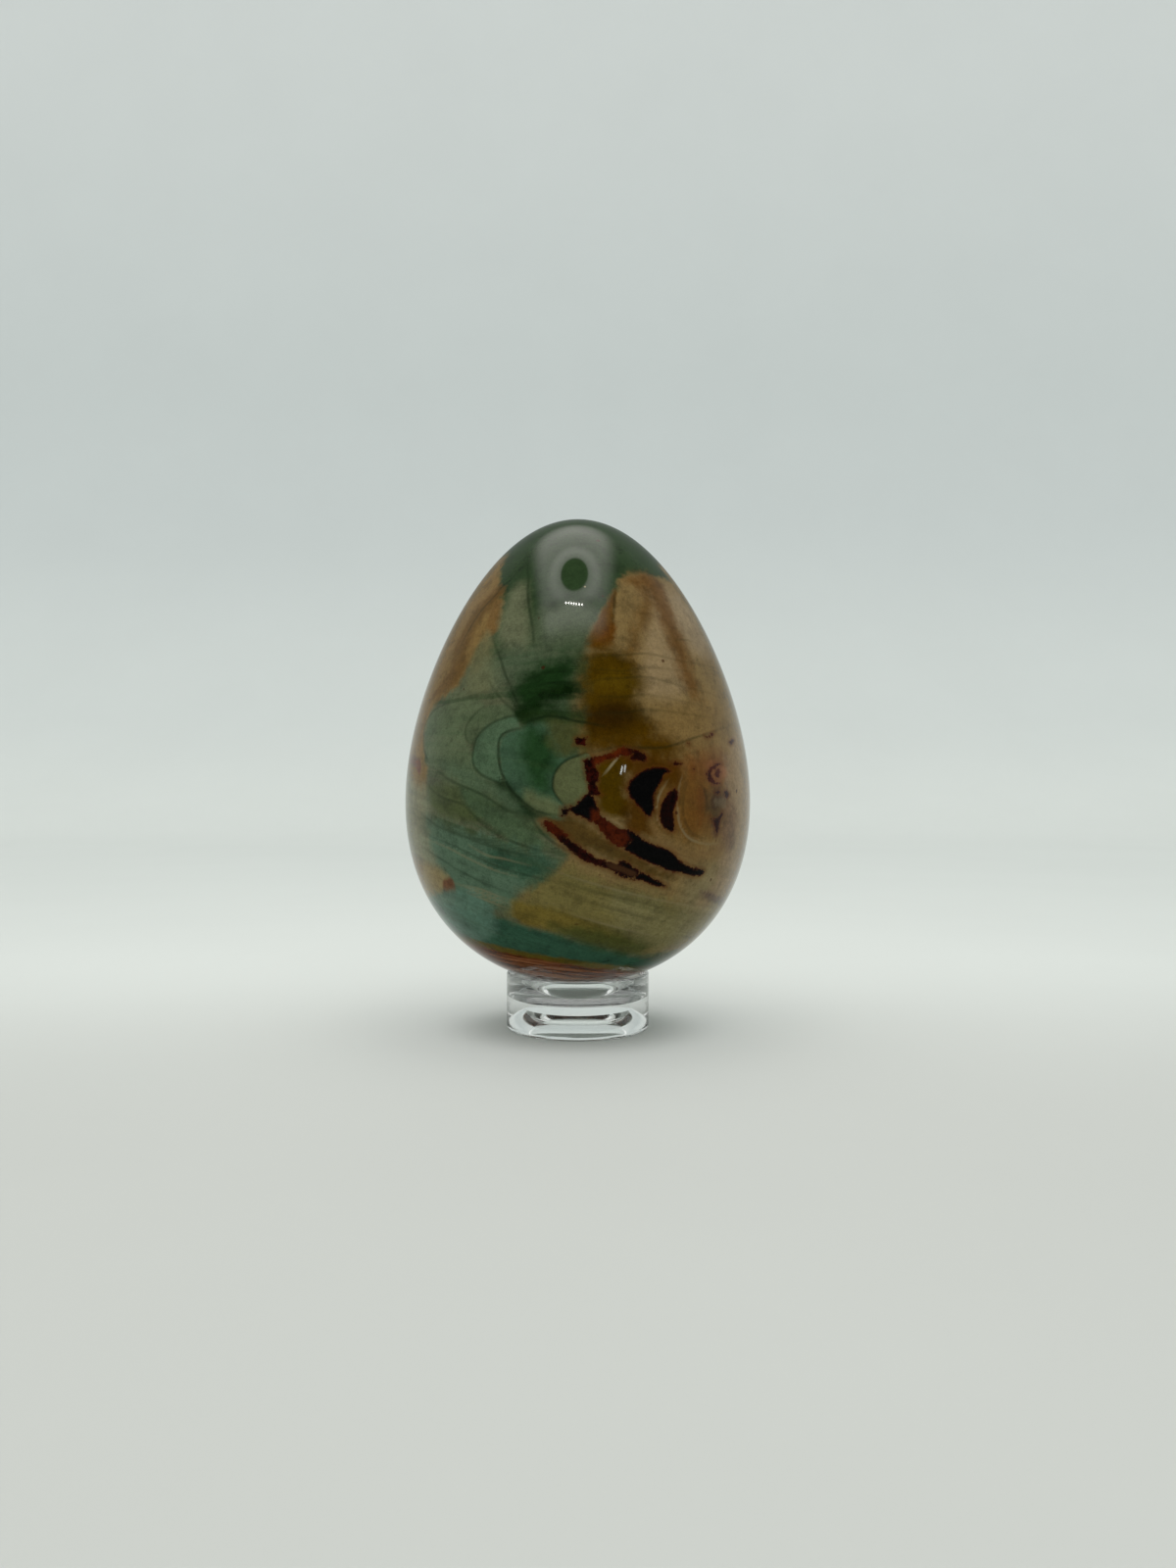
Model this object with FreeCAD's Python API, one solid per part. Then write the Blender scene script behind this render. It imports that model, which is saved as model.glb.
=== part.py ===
import FreeCAD, Part
import math
import os

# Polished stone egg standing blunt end down on a short clear ring.
# All sizes are in millimetres. The origin is at the centre of the ring's underside,
# +Z points up along the axis that both pieces share, and the floor is at Z = 0.

# Driving dimensions of the ring
RING_OUTER_R = 12.5
RING_HEIGHT = 9.9
RIM_LAND_WIDTH = 1.3
SEAT_DEPTH = 4.7
SEAT_WALL = 4.1
SEAT_HOLLOW = 0.5
WEB_THICKNESS = 1.7
RECESS_WALL = 6.3
FOOT_WIDTH = 4.2
RECESS_HOLLOW = 0.37

# Driving dimensions of the egg
EGG_LENGTH = 81.4
EGG_BLANK_WIDTH = 58.7
EGG_TAPER_SHARE = -0.238
EGG_FULLNESS_SHARE = 0.019
EGG_SKEW_SHARE = 0.030

# Small sizes
RIM_EDGE_R = 0.35
FOOT_EDGE_R = 0.8
SEAT_CLEARANCE = 0.1

# Working values
PROFILE_STATIONS = 28
HALVINGS = 60
FULL_TURN_DEG = 360.0

# Directions and the shared axis
AXIS_POINT = FreeCAD.Vector(0, 0, 0)
UP = FreeCAD.Vector(0, 0, 1)
OUTWARD = FreeCAD.Vector(1, 0, 0)
INWARD = FreeCAD.Vector(-1, 0, 0)

# Sizes that follow from the driving dimensions
SEAT_RIM_R = RING_OUTER_R - RIM_LAND_WIDTH
SEAT_FLOOR_R = RING_OUTER_R - SEAT_WALL
SEAT_FLOOR_Z = RING_HEIGHT - SEAT_DEPTH
RECESS_TOP_R = RING_OUTER_R - RECESS_WALL
RECESS_TOP_Z = SEAT_FLOOR_Z - WEB_THICKNESS
RECESS_FOOT_R = RING_OUTER_R - FOOT_WIDTH


def at(radius, height):
    """A point of a half section, on the XZ plane."""
    return FreeCAD.Vector(radius, 0, height)


def straight(start, end):
    """A straight edge of a half section."""
    return Part.LineSegment(start, end).toShape()


def quarter_round(start, centre, end):
    """A quarter arc of a half section, bulging away from its centre."""
    radius = (start - centre).Length
    half_way = (start - centre) + (end - centre)
    half_way.normalize()
    middle = centre + half_way * radius
    return Part.Arc(start, middle, end).toShape()


def bowed(start, end, bow):
    """A shallow arc of a half section whose middle stands off the chord, to its left, by the bow."""
    chord = end - start
    left = FreeCAD.Vector(-chord.z, 0, chord.x)
    left.normalize()
    middle = (start + end) * 0.5 + left * bow
    return Part.Arc(start, middle, end).toShape()


def turned(edges):
    """The solid that a closed half section sweeps in one full turn about the axis."""
    face = Part.Face(Part.Wire(edges))
    return face.revolve(AXIS_POINT, UP, FULL_TURN_DEG)


def egg_radius(share):
    """The egg's radius at a share of its half length: -1 at the blunt pole, 1 at the tip."""
    ellipse = EGG_BLANK_WIDTH / 2 * math.sqrt(1 - share ** 2)
    taper = EGG_TAPER_SHARE * share
    fullness = EGG_FULLNESS_SHARE * share ** 2
    skew = EGG_SKEW_SHARE * share ** 3
    return ellipse * (1 + taper + fullness + skew)


def egg_height(share):
    """The height above the blunt pole at a share of the egg's half length."""
    return EGG_LENGTH / 2 * (1 + share)


def sunk_depth():
    """How far the blunt pole hangs below the ring's rim, where the egg meets the seat."""
    touching_r = SEAT_RIM_R - SEAT_CLEARANCE
    low = -1.0
    high = 0.0
    for _ in range(HALVINGS):
        middle = (low + high) / 2
        if egg_radius(middle) < touching_r:
            low = middle
        else:
            high = middle
    return egg_height(low)


def egg_points(pole_z):
    """Points up the egg's side, closer together at both poles."""
    points = [at(0, pole_z)]
    for station in range(1, PROFILE_STATIONS):
        share = -math.cos(math.pi * station / PROFILE_STATIONS)
        points.append(at(egg_radius(share), pole_z + egg_height(share)))
    points.append(at(0, pole_z + EGG_LENGTH))
    return points


def make_egg():
    """One solid egg whose side leaves both poles square to the axis."""
    pole_z = RING_HEIGHT - sunk_depth()
    points = egg_points(pole_z)
    side = Part.BSplineCurve()
    side.interpolate(Points=points, InitialTangent=OUTWARD, FinalTangent=INWARD)
    return turned([side.toShape(), straight(points[-1], points[0])])


def ring_outside():
    """The ring's outer wall with its two rounded edges, from foot to rim."""
    foot_in = at(RING_OUTER_R - FOOT_EDGE_R, 0)
    foot_centre = at(RING_OUTER_R - FOOT_EDGE_R, FOOT_EDGE_R)
    foot_out = at(RING_OUTER_R, FOOT_EDGE_R)
    rim_out = at(RING_OUTER_R, RING_HEIGHT - RIM_EDGE_R)
    rim_centre = at(RING_OUTER_R - RIM_EDGE_R, RING_HEIGHT - RIM_EDGE_R)
    rim_in = at(RING_OUTER_R - RIM_EDGE_R, RING_HEIGHT)
    return [
        quarter_round(foot_in, foot_centre, foot_out),
        straight(foot_out, rim_out),
        quarter_round(rim_out, rim_centre, rim_in),
    ]


def ring_inside():
    """The rim's land, the dished seat down to its flat floor, and the hollow below, from rim to foot."""
    rim_in = at(RING_OUTER_R - RIM_EDGE_R, RING_HEIGHT)
    seat_rim = at(SEAT_RIM_R, RING_HEIGHT)
    seat_floor = at(SEAT_FLOOR_R, SEAT_FLOOR_Z)
    floor_middle = at(0, SEAT_FLOOR_Z)
    web_underside = at(0, RECESS_TOP_Z)
    recess_top = at(RECESS_TOP_R, RECESS_TOP_Z)
    recess_foot = at(RECESS_FOOT_R, 0)
    return [
        straight(rim_in, seat_rim),
        bowed(seat_rim, seat_floor, SEAT_HOLLOW),
        straight(seat_floor, floor_middle),
        straight(floor_middle, web_underside),
        straight(web_underside, recess_top),
        bowed(recess_top, recess_foot, RECESS_HOLLOW),
    ]


def make_ring():
    """One clear ring with a thin floor across its middle, that stands on a flat annular foot."""
    recess_foot = at(RECESS_FOOT_R, 0)
    foot_edge = at(RING_OUTER_R - FOOT_EDGE_R, 0)
    return turned(ring_outside() + ring_inside() + [straight(recess_foot, foot_edge)])


os.makedirs("parts", exist_ok=True)
make_egg().exportStep("parts/stone_egg.step")
make_ring().exportStep("parts/acrylic_ring_stand.step")
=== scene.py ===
import math

import bpy
import numpy as np
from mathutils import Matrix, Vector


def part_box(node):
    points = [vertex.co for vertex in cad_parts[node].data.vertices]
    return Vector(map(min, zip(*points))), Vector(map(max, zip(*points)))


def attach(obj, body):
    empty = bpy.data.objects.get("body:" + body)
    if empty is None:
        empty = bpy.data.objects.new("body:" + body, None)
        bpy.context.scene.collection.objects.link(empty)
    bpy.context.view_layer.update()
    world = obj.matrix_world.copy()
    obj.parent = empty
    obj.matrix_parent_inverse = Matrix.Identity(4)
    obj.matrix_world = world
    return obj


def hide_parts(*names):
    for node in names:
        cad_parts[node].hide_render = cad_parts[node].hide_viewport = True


# A polished stone egg on a clear ring, in a pale photo tent. The row frame is in metres;
# everything drawn on the stone is worked out in millimetres.
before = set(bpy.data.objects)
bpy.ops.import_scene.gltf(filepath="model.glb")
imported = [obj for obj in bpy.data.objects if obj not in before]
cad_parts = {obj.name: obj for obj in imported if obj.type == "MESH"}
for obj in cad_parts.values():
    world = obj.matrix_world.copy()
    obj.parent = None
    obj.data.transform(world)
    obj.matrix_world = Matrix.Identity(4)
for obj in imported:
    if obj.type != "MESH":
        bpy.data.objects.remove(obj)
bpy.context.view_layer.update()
MM = 0.001

# The photograph's view
PHOTO_WIDTH = 1200
PHOTO_HEIGHT = 1600
FOCAL_PX = 1201.0
AXIS_PX = 589.5
HORIZON_PX = 800.0
CAMERA_Y = -207.8
CAMERA_Z = 42.85
SENSOR_MM = 36.0

# The egg, as in the CAD source, and how far inside it the painted mesh lies
EGG_LENGTH = 81.4
EGG_BLANK_WIDTH = 58.7
EGG_TAPER = -0.238
EGG_FULLNESS = 0.019
EGG_SKEW = 0.030
EGG_INSET = 0.03
POLE_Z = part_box("stone_egg")[0].z / MM
EGG_MIDDLE_Z = POLE_Z + EGG_LENGTH * 0.45

# The egg's mesh is finer on the side that the photograph shows
PROFILE_POINTS = 4001
EGG_ROWS = 298
FRONT_COLUMNS = 240
BACK_COLUMNS = 90
FRONT_HALF_DEG = 90.0

# A pixel's ray is followed between these distances from the camera
RAY_FROM = 150
RAY_TO = 240
RAY_POINTS = 3001

# How far from a drawn edge its distance is kept, and what is left of a thin line at its ends
REACH = 6.0
END_WEIGHT = 0.25

# Over how many millimetres a vein patch takes over from others, and its share at its outline
VEIN_BLEND = 0.6
VEIN_EDGE = 0.8

# How much brighter the paint is than the colours seen in the photograph
STONE_LIFT = 1.15


def egg_radius(share):
    ellipse = EGG_BLANK_WIDTH / 2 * np.sqrt(np.clip(1 - share ** 2, 0, None))
    return ellipse * (1 + EGG_TAPER * share + EGG_FULLNESS * share ** 2 + EGG_SKEW * share ** 3)


def share_at(height):
    return (height - POLE_Z) / (EGG_LENGTH / 2) - 1


def on_egg(azimuth, height):
    """Points on the egg, in millimetres. Azimuth 0 faces the camera and 90 is to its right."""
    turn = np.radians(azimuth)
    radius = egg_radius(share_at(np.asarray(height, float)))
    return np.stack([radius * np.sin(turn), -radius * np.cos(turn), height + 0 * radius], -1)


def pic(*pixels):
    """Where pixels of the photograph, each a column and a row, lie on the egg: azimuth and height."""
    found = []
    steps = np.linspace(RAY_FROM, RAY_TO, RAY_POINTS)
    for column, row in zip(pixels[::2], pixels[1::2]):
        ray = np.array([(column - AXIS_PX) / FOCAL_PX, 1.0, (HORIZON_PX - row) / FOCAL_PX])
        path = np.array([0, CAMERA_Y, CAMERA_Z]) + steps[:, None] * ray
        depth = egg_radius(share_at(path[:, 2])) - np.hypot(path[:, 0], path[:, 1])
        hits = np.nonzero(depth > 0)[0]
        place = path[hits[0] if len(hits) else int(np.argmax(depth))]
        found.append((math.degrees(math.atan2(place[0], -place[1])), place[2]))
    return found


def smooth(points, closed, pieces=5):
    """A Catmull-Rom curve through azimuth and height points."""
    p = np.array(points, float)
    if closed:
        p = np.vstack([p[-1], p, p[0], p[1]])
    else:
        p = np.vstack([2 * p[0] - p[1], p, 2 * p[-1] - p[-2]])
    t = np.arange(pieces)[:, None] / pieces
    out = []
    for a, b, c, d in zip(p[:-3], p[1:-2], p[2:-1], p[3:]):
        out.append(b + 0.5 * t * (c - a + t * (2 * a - 5 * b + 4 * c - d + t * (3 * (b - c) + d - a))))
    out = np.vstack(out)
    return out if closed else np.vstack([out, p[-2]])


def nearest(where, line):
    """For each point: distance to a run of 3-D points, and the piece and place nearest to it."""
    a, b = line[:-1], line[1:]
    ab = b - a
    best = np.full(len(where), 1e9)
    piece = np.zeros(len(where), int)
    along = np.zeros(len(where))
    for i in range(len(a)):
        size = max(float(ab[i] @ ab[i]), 1e-9)
        t = np.clip((where - a[i]) @ ab[i] / size, 0, 1)
        gap = np.linalg.norm(where - a[i] - t[:, None] * ab[i], axis=1)
        closer = gap < best
        best[closer], piece[closer], along[closer] = gap[closer], i, t[closer]
    return best, piece, along


class Stone:
    """The egg's vertices and the distances drawn on them."""

    def __init__(self):
        fine = np.linspace(-1, 1, PROFILE_POINTS)
        profile_r = egg_radius(fine) - EGG_INSET * np.sqrt(np.clip(1 - fine ** 2, 0, None))
        profile_z = POLE_Z + EGG_LENGTH / 2 * (1 + fine) - EGG_INSET * fine
        length = np.concatenate([[0], np.cumsum(np.hypot(np.diff(profile_r), np.diff(profile_z)))])
        spots = np.linspace(0, length[-1], EGG_ROWS + 1)
        row_r = np.interp(spots, length, profile_r)
        row_z = np.interp(spots, length, profile_z)
        front = np.linspace(-FRONT_HALF_DEG, FRONT_HALF_DEG, FRONT_COLUMNS + 1)
        back = np.linspace(FRONT_HALF_DEG, 360 - FRONT_HALF_DEG, BACK_COLUMNS + 1)[1:-1]
        columns = np.concatenate([front, back])
        turn = np.radians(columns)
        rows = range(1, EGG_ROWS)
        points = [[(0, 0, row_z[0])]]
        for i in rows:
            points.append(np.stack([row_r[i] * np.sin(turn), -row_r[i] * np.cos(turn),
                                    np.full(len(turn), row_z[i])], -1))
        points.append([(0, 0, row_z[-1])])
        self.points = np.vstack(points)
        self.azimuth = np.concatenate([[0], np.tile(columns, EGG_ROWS - 1), [0]])
        self.height = self.points[:, 2]
        self.columns = len(columns)
        self.line_gap = np.full(len(self.points), REACH)
        self.line_side = np.full(len(self.points), REACH)
        self.line_dark = np.zeros(len(self.points))

    def faces(self):
        n = self.columns
        last = len(self.points) - 1
        grid = 1 + np.arange((EGG_ROWS - 1) * n).reshape(EGG_ROWS - 1, n)
        right = np.roll(grid, -1, axis=1)
        quads = np.stack([grid[:-1], right[:-1], right[1:], grid[1:]], -1).reshape(-1, 4)
        foot = [(0, int(b), int(a)) for a, b in zip(grid[0], right[0])]
        top = [(last, int(a), int(b)) for a, b in zip(grid[-1], right[-1])]
        return quads.tolist() + foot + top

    def near(self, outline):
        """The vertices that could lie within reach of an outline."""
        middle = outline[:, 0].mean()
        azimuth = (self.azimuth - middle + 180) % 360 - 180 + middle
        spread = np.degrees(REACH / np.maximum(egg_radius(share_at(self.height)), 1))
        return azimuth, ((self.height > outline[:, 1].min() - REACH)
                         & (self.height < outline[:, 1].max() + REACH)
                         & (azimuth > outline[:, 0].min() - spread)
                         & (azimuth < outline[:, 0].max() + spread))

    def inside(self, points, rounded=True):
        """Distance to a closed outline, above zero inside it."""
        outline = smooth(points, True) if rounded else np.array(points, float)
        azimuth, close = self.near(outline)
        spots = np.nonzero(close)[0]
        x, y = azimuth[spots], self.height[spots]
        ring = np.vstack([outline, outline[:1]])
        within = np.zeros(len(spots), bool)
        for (x0, y0), (x1, y1) in zip(ring[:-1], ring[1:]):
            if y0 != y1:
                crosses = ((y0 > y) != (y1 > y)) & (x < (x1 - x0) * (y - y0) / (y1 - y0) + x0)
                within ^= crosses
        gap, _, _ = nearest(self.points[spots], on_egg(ring[:, 0], ring[:, 1]))
        out = np.full(len(self.points), -REACH)
        out[spots] = np.clip(np.where(within, gap, -gap), -REACH, REACH)
        return out

    def below(self, points):
        """Distance below a plane through three of the egg's points, which is above zero."""
        a, b, c = on_egg(*np.array(points, float).T)
        normal = np.cross(b - a, c - a)
        normal /= np.linalg.norm(normal) * math.copysign(1, normal[2])
        return np.clip(-(self.points - a) @ normal, -REACH, REACH)

    def line(self, weight, taper, points):
        """A thin line, dark with a weight above zero and pale with one below."""
        curve = smooth(points, False)
        _, close = self.near(curve)
        spots = np.nonzero(close)[0]
        path = on_egg(curve[:, 0], curve[:, 1])
        gap, piece, along = nearest(self.points[spots], path)
        step = path[piece + 1] - path[piece]
        outward = self.points[spots] - [0, 0, EGG_MIDDLE_Z]
        offset = self.points[spots] - path[piece] - along[:, None] * step
        side = np.sign(np.einsum("ij,ij->i", np.cross(outward, step), offset))
        place = (piece + along) / (len(path) - 1)
        ends = np.clip(np.minimum(place, 1 - place) / taper, 0, 1)
        closer = gap < self.line_gap[spots]
        hit = spots[closer]
        self.line_gap[hit] = gap[closer]
        self.line_side[hit] = (gap * side)[closer]
        self.line_dark[hit] = (weight * (END_WEIGHT + (1 - END_WEIGHT) * ends))[closer]


def tone(red, green, blue, lift=STONE_LIFT):
    """The linear colour of a surface that looks like this 0-255 colour under the tent's light."""
    made = []
    for value in (red, green, blue):
        v = value / 255
        made.append(lift * (v / 12.92 if v <= 0.04045 else ((v + 0.055) / 1.055) ** 2.4))
    return (*made, 1.0)


stone = Stone()

# Zones of colour, painted one over another: name, colour, softness and wobble of the edge in
# millimetres, strength, the distance inside, and how far the beds streak the edge
ZONES = []


def zone(name, colour, soft, wobble, strength, shape, streak=0.0):
    """The shape is a closed outline, or a distance made already."""
    distance = stone.inside(shape) if isinstance(shape, list) else shape
    ZONES.append((name, tone(*colour), soft, wobble, strength, distance, streak))


# The left flank, round to the back
zone("left_back_tan", (106, 84, 48), 2, 2, 1, pic(511, 580, 514, 610, 508, 640, 490, 658, 478, 680, 464, 702,
    445, 716, 436, 735, 433, 760, 435, 790, 431, 830, 429, 860, 440, 885, 462, 905, 455, 925) + [(-84, 24),
    (-102, 29), (-120, 29), (-137, 36), (-130, 44), (-146, 51), (-158, 58), (-143, 64), (-124, 67),
    (-118, 75), (-92, 80), (-60, 82)])
zone("flank_pale", (116, 92, 62), 1.6, 1, 0.3, pic(505, 600, 490, 620, 470, 645, 455, 680, 438, 704,
    430, 720, 434, 690, 448, 655, 470, 622))
zone("flank_streak", (80, 56, 22), 2, 1.4, 0.75, pic(512, 596, 510, 612, 496, 626, 484, 646, 477, 664,
    474, 684, 460, 702, 438, 716, 446, 702, 459, 682, 464, 660, 476, 636, 492, 614))
zone("flank_tip", (97, 72, 40), 0.9, 0.7, 0.8, pic(511, 612, 510, 634, 503, 649, 497, 640, 501, 622))
zone("flank_wedge", (92, 88, 62), 2.2, 1.2, 0.8, pic(497, 644, 503, 650, 502, 672, 500, 700, 490, 706,
    478, 704, 478, 684, 486, 662))

# The right side, round to the back
zone("right_side", (108, 89, 57), 1.6, 1.2, 1, pic(629, 600, 633, 590, 642, 585, 655, 584, 668, 587,
    684, 592) + [(62, 80), (90, 81), (108, 77), (120, 70), (114, 63), (128, 57), (147, 53), (152, 46),
    (138, 40), (124, 37), (130, 29), (118, 21), (100, 15), (70, 15)] + pic(664, 972, 640, 970, 605, 960,
    575, 952, 545, 945, 527, 937, 524, 922, 534, 911, 556, 900, 570, 887, 579, 873, 568, 858, 549, 839,
    557, 828, 579, 829, 586, 800, 590, 765, 586, 742, 581, 722, 580, 705, 588, 684, 598, 664, 600, 646,
    612, 630, 622, 612))
zone("right_low_olive", (98, 90, 52), 3.4, 2, 0.9, pic(568, 890, 582, 884, 600, 894, 622, 902, 650, 908,
    690, 922, 728, 935) + [(75, 20)] + pic(705, 955, 664, 972, 605, 960, 527, 937, 524, 922, 551, 898))
zone("right_mid", (107, 85, 50), 6, 3, 0.8, pic(666, 728, 700, 716, 726, 712, 748, 740, 753, 780, 750, 830,
    742, 856, 716, 868, 690, 862, 668, 850, 656, 812, 660, 770))
zone("tan_core", (124, 106, 80), 4, 1.6, 0.85, pic(662, 636, 672, 626, 682, 642, 692, 666, 702, 692,
    698, 708, 676, 712, 660, 704, 656, 680, 657, 660))
zone("low_right_pale", (118, 108, 80), 5, 2, 0.65, pic(700, 902, 735, 888, 742, 915, 728, 940, 705, 962,
    682, 968, 690, 940))
zone("low_right_light", (112, 106, 76), 5, 2, 0.6, pic(622, 920, 645, 914, 675, 922, 704, 938, 700, 958,
    668, 970, 640, 958))
zone("upper_pale", (126, 110, 88), 5, 2, 0.8, pic(660, 606, 676, 600, 696, 612, 716, 640, 728, 664, 712, 668,
    696, 650, 682, 640, 668, 624))
zone("mid_rust", (88, 56, 16), 6, 2, 0.7, pic(662, 776, 684, 774, 712, 778, 740, 784, 748, 806, 744, 836,
    728, 852, 700, 858, 676, 850, 662, 820))
zone("rust_halo", (96, 54, 22), 4, 1.6, 0.6, pic(698, 782, 706, 770, 722, 764, 740, 768, 750, 782, 748, 798,
    736, 796, 722, 790, 708, 792))
zone("limb_tan", (122, 101, 74), 3, 2, 0.8, pic(745, 762, 740, 800, 742, 850, 728, 900, 712, 925)
    + [(80, 26), (104, 32), (112, 48), (98, 58)])
zone("brown_cap_edge", (80, 50, 12), 3.4, 1.8, 0.8, pic(640, 590, 656, 584, 668, 589, 680, 606, 688, 628,
    697, 652, 706, 682, 714, 712, 702, 706, 690, 676, 680, 650, 670, 624, 660, 604, 648, 597))
zone("brown_inner", (84, 58, 24), 3.2, 1.8, 0.75, pic(656, 596, 668, 612, 664, 628, 655, 644, 650, 664,
    646, 682, 640, 670, 644, 648, 650, 626, 653, 608))
zone("shard", (77, 51, 14), 0.9, 0.8, 0.95, pic(629, 601, 627, 622, 626, 650, 614, 658, 598, 660, 598, 653,
    604, 642, 612, 628, 621, 612))
zone("shard_deep", (84, 48, 8), 1.4, 0.8, 0.7, pic(627, 634, 626, 656, 612, 662, 604, 658, 614, 646))
zone("olive_brown", (63, 45, 3), 4, 1.4, 1, pic(588, 666, 606, 660, 630, 661, 648, 672, 654, 694, 652, 712,
    658, 732, 666, 748, 655, 760, 625, 760, 600, 764, 592, 750, 585, 728, 582, 706, 585, 686), 1.4)
zone("olive_dark", (30, 14, 2), 4.5, 1.4, 0.75, pic(602, 722, 614, 712, 634, 710, 648, 720, 652, 738,
    636, 750, 608, 750, 596, 740), 1.8)
zone("olive_lit", (76, 57, 4), 3, 1.4, 0.6, pic(608, 690, 622, 684, 640, 690, 644, 702, 628, 708, 610, 704))
zone("olive_toe", (64, 42, 0), 5, 1.6, 1, pic(594, 750, 615, 748, 640, 746, 662, 742, 684, 752, 694, 766,
    672, 776, 645, 766, 620, 768, 600, 768), 1)
zone("within_veins", (63, 45, 0), 2, 1.2, 1, pic(606, 782, 622, 770, 640, 768, 652, 778, 642, 790, 636, 804,
    644, 820, 640, 834, 622, 834, 610, 824, 608, 804))
zone("vein_ground", (62, 37, 0), 3, 1.6, 0.95, pic(640, 770, 662, 770, 690, 778, 694, 800, 672, 806,
    664, 836, 668, 852, 648, 852, 636, 842, 638, 820, 640, 795))
zone("under_veins", (62, 44, 10), 1.8, 1.2, 0.85, pic(556, 835, 580, 832, 604, 842, 630, 862, 660, 880,
    690, 896, 672, 896, 640, 882, 610, 870, 580, 858))
zone("sand_rings", (108, 84, 52), 1.6, 0.8, 0.7, pic(664, 836, 672, 852, 690, 862, 716, 866, 740, 856,
    736, 872, 700, 878, 676, 866))
zone("amber_oval", (88, 56, 18), 4, 1.6, 0.6, pic(700, 794, 712, 788, 721, 798, 723, 820, 719, 840, 708, 852,
    698, 844, 695, 820, 697, 804))
zone("amber_deep", (84, 42, 10), 2.6, 1.6, 0.45, pic(714, 804, 720, 812, 719, 830, 714, 840, 711, 824))
zone("pale_sliver", (104, 96, 62), 1, 0.5, 0.6, pic(612, 832, 620, 835, 632, 843, 640, 849, 630, 848,
    618, 842))
zone("knot_olive", (60, 46, 26), 2.6, 2.2, 0.8, pic(724, 806, 733, 802, 743, 808, 744, 824, 738, 838,
    729, 840, 722, 828, 721, 814))
zone("knot_brown", (44, 22, 8), 1.2, 2, 0.85, pic(727, 808, 734, 807, 740, 812, 737, 822, 730, 826,
    726, 818))
zone("knot_tail", (64, 46, 34), 1.2, 1.2, 0.8, pic(727, 837, 734, 835, 735, 846, 731, 856, 728, 850))
zone("knot_shadow", (96, 70, 48), 3.4, 1.6, 0.8, pic(738, 826, 746, 816, 752, 832, 750, 856, 742, 868,
    735, 856, 737, 840))
zone("ring_fill", (118, 74, 46), 1.4, 0.8, 0.65, pic(722, 780, 730, 777, 739, 781, 742, 789, 737, 797,
    728, 800, 721, 793))
zone("knot_grey", (92, 80, 58), 1.2, 1.8, 0.5, pic(730, 812, 738, 810, 742, 816, 739, 823, 732, 824,
    728, 818))
zone("plum_smudge", (78, 62, 52), 1.2, 0.8, 0.85, pic(714, 908, 722, 910, 732, 914, 740, 919, 736, 923,
    726, 920, 718, 915))

# The green left and middle
zone("pale_wedge", (92, 95, 74), 3, 1.2, 0.85, pic(537, 596, 538, 620, 540, 650, 536, 664, 524, 668,
    512, 656, 510, 636, 516, 614, 527, 598))
zone("grey_mid", (84, 90, 68), 4, 2, 0.6, pic(490, 676, 504, 668, 512, 680, 508, 696, 495, 706, 480, 712,
    466, 712, 476, 694))
zone("green_shade", (56, 72, 56), 5, 2, 0.6, pic(506, 672, 522, 660, 545, 660, 570, 662, 594, 664, 590, 690,
    590, 720, 585, 738, 560, 742, 536, 738, 526, 722, 516, 704, 508, 688))
zone("veil_green", (66, 76, 58), 3, 1.2, 0.9, pic(547, 628, 566, 622, 592, 620, 604, 624, 600, 646, 592, 662,
    566, 666, 547, 664), 1)
zone("dark_green", (22, 44, 19), 4.6, 1.6, 1, pic(542, 680, 562, 670, 590, 666, 593, 684, 587, 700, 588, 712,
    578, 720, 562, 725, 548, 731, 534, 737, 526, 730, 522, 714, 524, 698, 532, 686), 1.8)
zone("green_pit", (8, 25, 5), 3.2, 1.4, 0.95, pic(528, 724, 542, 714, 560, 705, 580, 698, 584, 708, 566, 718,
    548, 726, 534, 732), 1.2)
zone("green_under", (24, 42, 16), 3, 1.2, 0.75, pic(532, 728, 556, 724, 582, 722, 594, 736, 580, 742,
    558, 742, 538, 745, 528, 740), 1)
zone("inner_blue", (56, 80, 62), 1.2, 0.8, 0.95, pic(534, 742, 519, 746, 511, 752, 508, 765, 510, 780,
    516, 797, 527, 812, 540, 824, 556, 832, 575, 833, 580, 800, 590, 765, 575, 745, 552, 738))
zone("inner_green", (30, 56, 30), 4, 1.6, 1, pic(538, 742, 556, 745, 565, 760, 571, 775, 562, 790, 562, 806,
    552, 812, 540, 800, 531, 780, 530, 758))
zone("loop_shade", (10, 34, 14), 2.2, 0.8, 0.9, pic(506, 792, 516, 798, 526, 808, 538, 817, 552, 826,
    564, 833, 546, 836, 526, 831, 508, 812))
zone("inner_tan", (62, 64, 34), 2.8, 1.2, 0.9, pic(560, 738, 578, 738, 594, 744, 598, 760, 590, 770,
    574, 772, 562, 758))
zone("sliver", (88, 94, 66), 2, 0.8, 0.9, pic(536, 806, 552, 812, 566, 818, 578, 828, 566, 833, 548, 828,
    536, 818))
zone("lens", (78, 83, 56), 0.25, 0.15, 1, pic(600, 769, 589, 772, 579, 776, 571, 782, 566, 790, 564, 799,
    565, 807, 570, 815, 578, 823, 588, 824, 600, 816, 606, 800, 606, 780))
zone("outer_fill", (78, 91, 68), 1.2, 0.8, 0.6, pic(461, 717, 447, 722, 438, 731, 433, 742, 432, 755,
    434, 770, 440, 782, 455, 792, 470, 801, 485, 800, 484, 782, 478, 762, 474, 747, 480, 732, 494, 720,
    480, 714))
zone("crescent", (72, 84, 62), 0.7, 0.5, 0.8, pic(499, 720, 488, 725, 479, 735, 475, 747, 480, 759, 486, 754,
    494, 744, 508, 736, 524, 731, 518, 720))
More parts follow.
